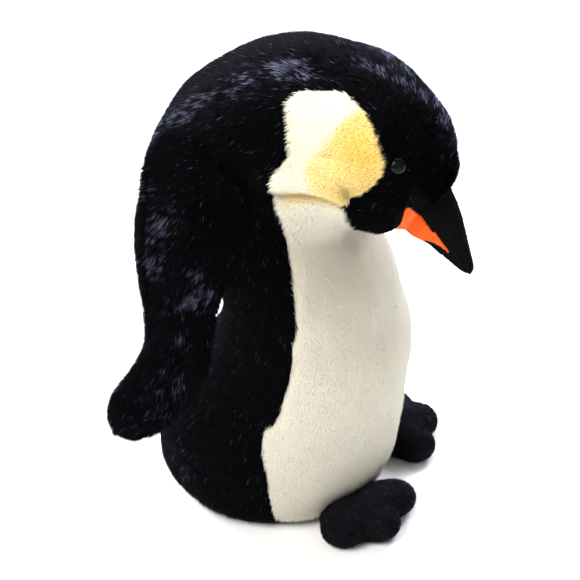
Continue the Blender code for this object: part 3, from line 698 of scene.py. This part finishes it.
def make_floor():
    """A wide, flat, pale floor, in strips."""
    size, steps = 6.0, 24
    verts = [(x, y, FLOOR_HEIGHT) for x in (-size, size)
             for y in np.linspace(-size, size, steps)]
    faces = [(i, i + steps, i + steps + 1, i + 1) for i in range(steps - 1)]
    mesh = bpy.data.meshes.new("studio_floor")
    mesh.from_pydata(verts, [], faces)
    mesh.update()
    floor = placed("studio_floor", mesh)
    mesh.materials.append(plain_material("pale floor", (0.86, 0.86, 0.86),
                                               (0.89, 0.89, 0.89), 3.0, (0.7, 0.85), 0.2, 0.02))


# ---------------------------------------------------------------- body and head skin
PIVOT = np.array((0.0, -0.006, 0.306))
ACROSS = unit(np.array((0.0, -0.782, 0.623)))      # square to the neck, toward the head
NECK_BAND = 0.020                                  # half depth of the band of cloth at the neck


def folded(angle):
    """Angle from the front line on either side, in degrees, 0 to 180."""
    degrees = np.degrees(angle) % 360
    return np.where(degrees > 180, 360 - degrees, degrees)


def edge_distance(row, degrees):
    """How far above the pale belly's edge a place is, in degrees."""
    return degrees - np.interp(row, *np.array(BELLY_EDGE).T)


def body_regions(row, angle):
    """Cheek patch and belly, as two masks over rows and angles."""
    degrees = folded(angle)
    cheek = inside_outline(CHEEK_OUTLINE, row, degrees)
    belly = (edge_distance(row, degrees) < 0) & (row < 11.05)
    chin = np.interp(degrees, (0, 45, 60, 67, 78), (12.16, 12.13, 12.08, 12.05, 12.0))
    belly |= (row >= 11.0) & (degrees < 78) & (row < chin)
    belly |= (row > 10.6) & (row < 11.5) & (degrees < 95)
    return cheek, belly & ~cheek


def kind_of_place(row, angle):
    """What covers each place: navy pile, belly, cheek, or the lower mandible's root."""
    cheek, belly = body_regions(row, angle)
    kind = np.where(cheek, ON_CHEEK, np.where(belly, ON_BELLY, ON_NAVY))
    return np.where((kind == ON_NAVY) & mandible_root(row, folded(angle)), ON_MANDIBLE, kind)


def mandible_root(row, degrees):
    """The part of the head's end that the orange lower mandible covers."""
    start = np.interp(degrees, (0, 60, 66, 80, 89), (15.3, 15.3, 15.22, 15.0, 15.06))
    return (row > start) & (degrees < np.interp(row, (15.0, 15.3, 16.2, 17.0), (88, 89, 86, 79)))


def fold_line(row):
    """The line where the neck's pale roll overhangs the belly: degrees at a section."""
    return np.interp(row, (9.8, 10.3, 11.0, 11.6, 12.1, 12.4), (86, 81, 76.5, 72.5, 69, 60))


def body_sculpt(row, angle, points):
    """How far the skin stands out of the loft, beyond its inset."""
    degrees = folded(angle)
    lift = np.full(row.shape, -SKIN_INSET)
    # The roll of pale plush at the neck, and the hollow under it.
    near = smoothstep(9.7, 10.2, row) * (1 - smoothstep(12.2, 12.7, row))
    offset = degrees - fold_line(row)
    roll = bell(offset, 6.5, 6.5) * 0.0085
    hollow = bell(offset, -4.0, 4.6) * -0.0058
    lift += near * (roll + hollow)
    # Crease between the white of the cheek and the puffed yellow part.
    crease = bell(degrees, 99, 2.2) * bell(row, 11.9, 0.55)
    lift += -0.0022 * crease
    puff = bell(degrees, 88, 9) * bell(row, 12.2, 0.9)
    lift += 0.0045 * puff
    # The shoulder that each flipper hangs from.
    lift += 0.0150 * bell(degrees, 146, 26) * bell(row, 8.1, 0.75)
    # The fuller underside of the head where the lower mandible starts.
    lift += 0.0055 * smoothstep(15.2, 16.4, row) * (1 - smoothstep(40, 72, degrees))
    # Shallow valleys at the sewn seams.
    seam = bell(edge_distance(row, degrees), 0, 2.4) * (row < 10.2)
    lift += -0.0014 * seam
    gusset = bell(degrees, 150, 2.0) * smoothstep(10.5, 11.2, row)
    lift += -0.0008 * gusset
    lift += (noise(points, 0.045, 9.2) - 0.5) * 0.0040
    lift += (noise(points, 0.020, 4.4) - 0.5) * 0.0014
    return np.maximum(lift, -0.0070)


def make_body_skin():
    rows = np.linspace(0, 17.0, BODY_GRID[0])
    angles, row, angle = grid(rows, BODY_GRID[1])
    points = loft_points(SECTIONS, row, angle)
    skin = Skin(points, rows, angles)
    mirrored = points.copy()
    mirrored[..., 0] = np.abs(mirrored[..., 0])
    lift = body_sculpt(row, angle, mirrored)
    skin.points = points + skin.normal * lift[..., None]
    skin.measure()
    return skin


def body_nap(row, angle, root, along, around):
    """The pile is brushed from the beak over the crown and down the back and belly."""
    down = np.zeros_like(root)
    down[:, 2] = -0.55
    return -along + down


# Painted sheen: patches where the dark pile is coloured paler, as if catching the light: section,
# degrees from the front line, reach in sections, reach in degrees, strength.
BODY_PAINTED_SHEEN = ((11.3, 151, 0.75, 12, 1.0), (10.3, 146, 0.5, 10, 0.55), (9.3, 150, 0.6, 12, 0.85),
                (8.5, 160, 0.5, 11, 0.75), (14.4, 174, 1.3, 10, 0.95), (12.9, 168, 0.5, 9, 0.7),
                (2.6, 126, 0.9, 14, 0.55), (6.2, 168, 2.6, 16, 0.30), (15.4, 150, 0.5, 16, 0.5),
                (1.6, 160, 1.0, 20, 0.35))


def body_painted_sheen(row, angle, root):
    """How much painted sheen lightens the body's dark pile."""
    degrees = folded(angle)
    total = 0.05
    for at, turn, rows, wide, strength in BODY_PAINTED_SHEEN:
        total = total + strength * np.exp(-((row - at) / rows) ** 2
                                          - ((degrees - turn) / wide) ** 2)
    return total


def yellow_and_painted_shadow(row, angle):
    """How yellow the pale pile is, 0 to 1: the cheek's own yellow, plus a painted golden shadow
    under the roll at the neck.
    """
    degrees = folded(angle)
    line = np.interp(row, (11.2, 11.7, 12.2, 12.4, 12.6, 12.9), (92, 101, 115, 123, 131, 138))
    below = smoothstep(-4, 7, line - degrees)
    strong = np.exp(-((row - 12.9) / 0.55) ** 2 - ((degrees - 107) / 16) ** 2)
    pale = 0.46 * smoothstep(11.0, 11.6, row)
    cheek = inside_outline(CHEEK_OUTLINE, row, degrees)
    amount = below * (pale + 0.42 * strong) * cheek
    # Painted shadow: a golden band on the belly just under the overhanging roll of pale plush at
    # the neck.
    near = smoothstep(9.9, 10.6, row) * (1 - smoothstep(12.3, 12.6, row))
    under = bell(degrees - fold_line(row), -3.5, 5.5)
    return np.clip(amount + 0.62 * near * under, 0, 1)


def neck_bend(piece):
    """Bake the piece's placement into its mesh."""
    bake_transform(piece)


def body_pile(row, angle, root):
    """The pile is trimmed short round the root of the beak."""
    return PILE * (1 - 0.60 * smoothstep(14.2, 15.2, row)
                   * (1 - smoothstep(100, 135, folded(angle))))


def make_body():
    """The body and head: pieces of one skin, cut by colour, by side and by the bodies they ride."""
    skin = make_body_skin()
    row, angle, middle, _ = skin.cell_values()
    kind = kind_of_place(row, angle)
    reach = (middle - PIVOT) @ ACROSS
    band = NECK_BAND + 0.001
    degrees = np.degrees(angle) % 360
    left = degrees < 180
    navy_style = dict(density=1650000, width=0.00053, length=body_pile, nap=body_nap,
                      material=NAVY, clump=0.25, tuft=0.0026, lift=0.50,
                      painted_sheen=body_painted_sheen)
    ivory_style = dict(density=1900000, width=0.00068, length=0.0062, nap=body_nap,
                       material=IVORY, clump=0.06, tuft=0.0026, lift=0.52,
                       swirl=0.14)
    torso, head = reach < -band, reach > band
    neck = ~(torso | head)
    pieces = []
    for side, half in (("left", left), ("right", ~left)):
        for part, low, high in (("low", 0, 3.2), ("waist", 3.2, 6.4), ("shoulder", 6.4, 18)):
            pieces.append(("back_plush_%s_%s" % (part, side), ON_NAVY,
                           torso & half & (row >= low) & (row < high), navy_style, "torso",
                           "back_panel_" + side, "navy_plush"))
        pieces += [
            ("neck_plush_" + side, ON_NAVY, neck & half, navy_style, "neck", "throat_gusset",
             "navy_plush"),
            ("head_plush_" + side, ON_NAVY, head & half & (row < 15), navy_style, "head",
             "head_side_" + side, "navy_plush"),
            ("brow_plush_" + side, ON_NAVY, head & half & (row >= 15), navy_style, "head",
             "crown_gusset", "navy_plush"),
            ("cheek_plush_" + side, ON_CHEEK, half, ivory_style, "neck", "cheek_patch_" + side,
             "gold_plush"),
            ("belly_plush_low_" + side, ON_BELLY, half & (row < 3.4), ivory_style, "torso",
             "belly_panel", "ivory_plush"),
            ("belly_plush_middle_" + side, ON_BELLY, half & (row >= 3.4) & (row < 5.5),
             ivory_style, "torso", "belly_panel", "ivory_plush"),
            ("belly_plush_high_" + side, ON_BELLY, half & (row >= 5.5), ivory_style, "neck",
             "belly_panel", "ivory_plush"),
            ("mandible_root_" + side, ON_MANDIBLE, half, FELT_STYLE, "head",
             "beak_stripe_" + side, "orange_felt"),
        ]
    for seed, (name, wanted, zone, style, body, node, slot) in enumerate(pieces):
        piece = furred(name, skin, (kind == wanted) & zone, style, seed,
                       extra=yellow_and_painted_shadow if style is ivory_style else None, zone=zone,
                       belongs=lambda r, a, wanted=wanted: kind_of_place(r, a) == wanted)
        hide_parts(node)
        if body == "neck":
            neck_bend(piece)
        else:
            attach(piece, body)
    make_base(skin)


def make_base(skin):
    """The flat cloth panel that the toy sits on."""
    ring = skin.points[3]
    centre = ring.mean(axis=0)
    steps, thick = 12, 0.0030
    inner = [k / steps for k in range(1, steps)]
    profile = [(scale, 0.0) for scale in inner]
    profile += [(0.997, 0.0), (1.0, 0.0008), (1.0, thick - 0.0008), (0.997, thick)]
    profile += [(scale, thick) for scale in reversed(inner)]
    verts = []
    for scale, z in profile:
        flat = centre + (ring - centre) * scale * 0.985
        verts += [(p[0], p[1], z + 0.0002) for p in flat]
    made = closed_piece("base_cloth", verts, grid_faces(len(profile), len(ring)), BASE_CLOTH)
    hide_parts("base_panel")
    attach(made, "torso")


# ---------------------------------------------------------------- beak
def beak_edges(row):
    """The orange stripe's lower and upper edges, in degrees."""
    low = np.interp(row, (0, 1.2, 1.6, 2.1, 2.7), (-1, -1, 48, 72, 85))
    high = np.interp(row, (0, 0.5, 1.4, 2.2, 2.7), (76, 80, 83, 84, 85))
    return low, high


def make_beak():
    rows = np.linspace(0.0, 5.0, BEAK_GRID[0])
    angles, row, angle = grid(rows, BEAK_GRID[1])
    points = loft_points(BEAK_SECTIONS, row, angle)
    skin = Skin(points, rows, angles)
    degrees = folded(angle)
    low, high = beak_edges(row)
    lift = np.full(row.shape, -0.0011)
    fuller = 0.0055 * (1 - smoothstep(0.6, 2.3, row)) * (1 - smoothstep(35, 68, degrees))
    lift += fuller + 0.0008 * (degrees < high) * (row < 2.7) * smoothstep(0, 6, high - degrees)
    lift += -0.0007 * bell(degrees, high, 3.0) * (row < 2.75)
    round_tip = np.sqrt(np.clip(1 - ((row - 4.3) / 0.7).clip(0, 1) ** 2, 0, 1))
    centre = points.mean(axis=1, keepdims=True)
    points = points + skin.normal * lift[..., None]
    points = centre + (points - centre) * np.maximum(round_tip, 0.03)[..., None]
    skin.points = points
    skin.measure()
    crow, cangle, _, _ = skin.cell_values()
    degrees = folded(cangle)
    low, high = beak_edges(crow)
    stripe = (degrees > low) & (degrees < high) & (crow < 2.7)
    under = (degrees < np.interp(crow, (2.7, 5.0), (85, 62))) & ~stripe
    upper = ~(stripe | under)
    left = (np.degrees(cangle) % 360) < 180
    velour = dict(density=1800000, width=0.00045, length=0.0030, nap=along_nap,
                  material=VELOUR, clump=0.2, tuft=0.002, swirl=0.2, lift=0.42)
    for seed, (name, cells, style, node, slot) in enumerate((
            ("beak_upper_velour", upper, velour, "beak_upper", "black_velour"),
            ("beak_lower_velour", under, velour, "beak_lower", "black_velour"),
            ("beak_stripe_felt_left", stripe & left, FELT_STYLE, "beak_stripe_left", "orange_felt"),
            ("beak_stripe_felt_right", stripe & ~left, FELT_STYLE, "beak_stripe_right",
             "orange_felt"))):
        piece = furred(name, skin, cells, style, BEAK_SEED + seed, 0.0009)
        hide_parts(node)
        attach(piece, "head")
    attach(filling("beak_filling", skin, 0.0016, "beak_stuffing"), "head")


# ---------------------------------------------------------------- flippers
def flipper_surface(row, angle):
    """Points of the left flipper's blade: angle 0 is the middle of its outer face."""
    out, down, run, wide, thick = np.moveaxis(catmull(FLIPPER_SECTIONS, row), -1, 0)
    across = unit(FLIPPER_OUT)
    face = np.array((across[1], -across[0], 0.0))
    down_way = unit(np.array((0, 0, -1.0)) + face * FLIPPER_LEAN)
    middle = FLIPPER_ORIGIN + across * out[..., None] + down_way * down[..., None]
    middle = middle - face * (SHOULDER_LEAN * np.maximum(SHOULDER_DOWN - down, 0))[..., None]
    run = np.radians(run)[..., None]
    direction = across * np.cos(run) - down_way * np.sin(run)
    edge = np.sign(np.sin(angle)) * np.abs(np.sin(angle)) ** 0.9
    depth = np.sign(np.cos(angle)) * np.abs(np.cos(angle)) ** 0.8
    return middle + direction * (wide * edge)[..., None] + face * (thick * depth)[..., None]


# The same painted sheen for the flippers: out and down, reach, strength.
FLIPPER_PAINTED_SHEEN = ((0.014, -0.021, 0.014, 1.0), (0.027, 0.010, 0.017, 0.95),
                   (-0.004, 0.022, 0.012, 0.55), (-0.013, 0.045, 0.016, 1.0),
                   (0.008, 0.052, 0.012, 0.55), (0.004, 0.078, 0.013, 0.55),
                   (0.030, -0.045, 0.016, 0.6), (0.035, 0.140, 0.034, 0.42),
                   (0.012, 0.112, 0.022, 0.45))


# Painted sheen on the flippers' dark pile, at the places in the table above.
def flipper_painted_sheen(row, angle, root):
    out, down, run, wide, _ = np.moveaxis(catmull(FLIPPER_SECTIONS, row), -1, 0)
    run = np.radians(run)
    out = out + wide * np.sin(angle) * np.cos(run)
    down = down - wide * np.sin(angle) * np.sin(run)
    total = 0.05
    for x, y, reach, strength in FLIPPER_PAINTED_SHEEN:
        total = total + strength * np.exp(-((out - x) ** 2 + (down - y) ** 2) / reach ** 2)
    return total


def make_flipper(side, sign, seed):
    rows = np.linspace(0, 14.0, FLIPPER_GRID[0])
    angles, row, angle = grid(rows, FLIPPER_GRID[1])
    points = flipper_surface(row, angle)
    skin = Skin(points, rows, angles)
    lift = np.full(row.shape, -0.0030)
    place = np.sin(angle)
    outer = np.cos(angle) > 0
    # A soft groove beside the back edge, where the two skins of the blade are sewn together.
    groove = bell(place, 0.82, 0.07) * smoothstep(2.2, 3.6, row)
    lift += -0.0030 * (groove * (1 - smoothstep(6.5, 8.5, row)) * outer)
    # The fold where the blade is gathered into the shoulder seam.
    fold = bell(place, 0.30, 0.45) * bell(row, 4.45, 0.42) * outer
    lift += 0.0050 * fold
    bulge = bell(place, 0.25, 0.4) * bell(row, 5.9, 0.9) * outer
    lift += 0.0030 * bulge
    hollow = bell(place, -0.1, 0.35) * bell(row, 7.6, 1.2) * outer
    lift += -0.0020 * hollow
    lift += (noise(points, 0.030, 2.2) - 0.5) * 0.0030
    points = points + skin.normal * lift[..., None]
    centre = points.mean(axis=1, keepdims=True)
    ends = np.minimum(smoothstep(-0.3, 0.6, rows), 1 - 0.97 * smoothstep(13.7, 14.0, rows))
    points = centre + (points - centre) * np.maximum(ends, 0.03)[:, None, None]
    points[..., 0] *= sign
    skin.points = points
    skin.measure()

    def nap(row, angle, root, along, around):
        lean = np.zeros_like(root)
        lean[:, 1] = 0.80 * (1 - smoothstep(8.0, 10.5, row))
        return along + lean

    _, cangle, _, _ = skin.cell_values()
    outer = np.cos(cangle) > 0
    style = dict(density=1650000, width=0.00053, length=PILE * 0.92, nap=nap,
                 material=NAVY, clump=0.28, tuft=0.0028, swirl=0.35, lift=0.48,
                 painted_sheen=flipper_painted_sheen)
    pieces = []
    for k, (name, cells, node) in enumerate((("flipper_plush_outer_", outer, "flipper_outer_"),
                                             ("flipper_plush_inner_", ~outer,
                                              "flipper_inner_"))):
        piece = furred(name + side, skin, cells, style, seed + k, 0.0008)
        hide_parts(node + side)
        pieces.append(piece)
    pieces.append(filling("flipper_filling_" + side, skin, 0.0014, "flipper_wadding_" + side,
                          first=int(np.searchsorted(rows, 4.0))))
    for piece in pieces:
        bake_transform(piece)


# ---------------------------------------------------------------- feet
def foot_field(p):
    """A smooth union of three toes and a pad. Negative inside, in metres."""
    blobs = [((0.0, -0.005, 0.0095), (0.029, 0.031, 0.0140))]
    for degrees, reach in FOOT_TOES:
        a = math.radians(degrees)
        blobs.append(((reach * math.sin(a), -reach * math.cos(a), 0.0125),
                      (0.0158, 0.0158, 0.0130)))
        blobs.append(((reach * 0.58 * math.sin(a), -reach * 0.58 * math.cos(a), 0.0118),
                      (0.0152, 0.0152, 0.0124)))
    total = 0.0
    for centre, radii in blobs:
        size = np.linalg.norm((p - np.array(centre)) / np.array(radii), axis=-1)
        distance = (size - 1) * min(radii)
        total = total + np.exp(-FOOT_SHARPNESS * distance)
    return -np.log(total) / FOOT_SHARPNESS


# An even painted sheen over the feet's dark pile.
def foot_painted_sheen(row, angle, root):
    return np.full(row.shape, 0.45)


def make_foot(side, sign, seed):
    rows = np.linspace(0, math.pi, FOOT_GRID[0])
    angles, polar, angle = grid(rows, FOOT_GRID[1])
    centre = np.array((0.0, -0.010, 0.010))
    ray = np.stack((np.sin(polar) * np.sin(angle), -np.sin(polar) * np.cos(angle),
                    np.cos(polar)), -1)
    near, far = np.zeros(polar.shape), np.full(polar.shape, 0.075)
    for _ in range(26):
        middle = (near + far) / 2
        inside = foot_field(centre + ray * middle[..., None]) < 0
        near, far = np.where(inside, middle, near), np.where(inside, far, middle)
    points = centre + ray * near[..., None]
    points[..., 2] = np.maximum(points[..., 2], 0.0012)
    c, s = math.cos(FOOT_TURN), math.sin(FOOT_TURN)
    x = points[..., 0] * c - points[..., 1] * s
    y = points[..., 0] * s + points[..., 1] * c
    points = np.stack(((FOOT_CENTRE[0] + x) * sign, FOOT_CENTRE[1] + y, points[..., 2]), -1)
    skin = Skin(points, rows, angles)
    _, _, middle, _ = skin.cell_values()

    def nap(row, angle, root, along, around):
        return along + np.array((0, -0.3, 0))

    low = middle[..., 2] < 0.0016
    style = dict(density=1600000, width=0.00050, length=0.0034, nap=nap,
                 material=VELVET, clump=0.15, tuft=0.0026, swirl=0.3, lift=0.6,
                 painted_sheen=foot_painted_sheen)
    sole = dict(density=300000, width=0.0006, length=0.0012, nap=nap,
                material=VELVET, clump=0.1, tuft=0.003, swirl=0.3, lift=0.15)
    top = furred("foot_plush_" + side, skin, ~low, style, seed, 0.0006)
    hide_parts("foot_top_" + side)
    bottom = furred("foot_sole_cloth_" + side, skin, low, sole, seed + 1, 0.0004)
    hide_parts("foot_sole_" + side)
    for piece in (top, bottom):
        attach(piece, "foot_" + side)
    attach(filling("foot_filling_" + side, skin, 0.0012, "foot_stuffing_" + side),
            "foot_" + side)


# ---------------------------------------------------------------- eyes
EYE_ROW, EYE_ANGLE = 13.98, math.radians(112)
EYE_RADIUS, EYE_DOME, EYE_STEM = 0.0062, 0.0036, 0.0021


def make_eye(side, sign):
    """A turned plastic eye: a smooth dome with a rolled rim, and the stem that goes through."""
    step = 0.01
    here, further, turned, back, before = (
        loft_points(SECTIONS, np.array(EYE_ROW + r), np.array(sign * EYE_ANGLE + a))
        for r, a in ((0, 0), (step, 0), (0, step), (-step, 0), (0, -step)))
    outward = unit(np.cross(turned - before, further - back))
    middle = loft_points(SECTIONS, np.array([EYE_ROW] * 2), np.array([0, math.pi])).mean(axis=0)
    outward = outward if (here - middle) @ outward > 0 else -outward
    side_way = unit(np.cross(outward, (0, 0, 1.0)))
    other = np.cross(outward, side_way)
    lift = 0.0009
    profile = [(EYE_RADIUS * math.sin(a), lift + EYE_DOME * math.cos(a))
               for a in np.linspace(0.04, math.pi / 2, 22)]
    profile += [(EYE_RADIUS * 0.985, lift - 0.0005), (EYE_RADIUS * 0.93, lift - 0.0008),
                (EYE_STEM * 1.3, lift - 0.0008), (EYE_STEM, lift - 0.0012), (EYE_STEM, -0.0060),
                (EYE_STEM * 0.8, -0.0066)]
    turns = np.arange(48) * 2 * math.pi / 48
    verts = [here + outward * z + (side_way * math.cos(t) + other * math.sin(t)) * r
             for r, z in profile for t in turns]
    piece = closed_piece("eye_dome_" + side, verts, grid_faces(len(profile), len(turns)), EYE)
    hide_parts("eye_" + side)
    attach(piece, "head")


def finish_inner_nodes():
    """Materials for the CAD nodes that stay: washers, fillings and the pellet bag."""
    for name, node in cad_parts.items():
        if name.startswith("eye_washer"):
            chosen = WASHER
        elif name == "pellet_bag":
            chosen = PELLET_CLOTH
        elif "stuffing" in name or "wadding" in name:
            chosen = FIBRE
        else:
            continue
        for slot in node.material_slots:
            slot.link = 'OBJECT'
            slot.material = chosen


make_studio()
make_floor()
make_body()
make_beak()
for number, (side, sign) in enumerate((("left", 1), ("right", -1))):
    make_flipper(side, sign, FLIPPER_SEED + number * SEED_STEP)
    make_foot(side, sign, FOOT_SEED + number * SEED_STEP)
    make_eye(side, sign)
finish_inner_nodes()
